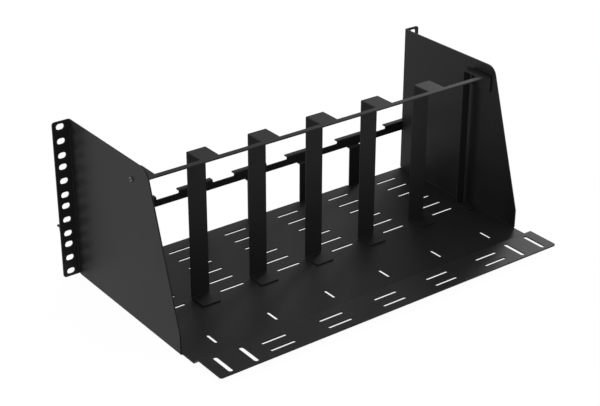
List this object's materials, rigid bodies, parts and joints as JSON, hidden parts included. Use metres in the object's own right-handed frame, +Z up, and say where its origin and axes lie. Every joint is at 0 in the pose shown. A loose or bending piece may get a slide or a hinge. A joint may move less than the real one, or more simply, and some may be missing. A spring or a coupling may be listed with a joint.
{
  "type": "rack mount shelf",
  "caption": "Folded steel rack shelf with upright divider straps, a front comb, slotted floor and a slotted tie strip for cables.",
  "frame": {"origin": "centre of the ears' hole pattern, on the ears' back face, which lies on the rack's rails", "axes": "+X across the rack, +Y out of the rack's front, +Z up"},
  "size_m": [0.4826, 0.2706, 0.179],
  "materials": {
    "black_powder_coat": "fine matte powder coat on steel sheet",
    "black_screw": "black oxide steel"
  },
  "bodies": {
    "root": {"tray": "black_powder_coat", "divider_frame": "black_powder_coat", "screw_left": "black_screw", "screw_right": "black_screw"}
  },
  "joints": []
}
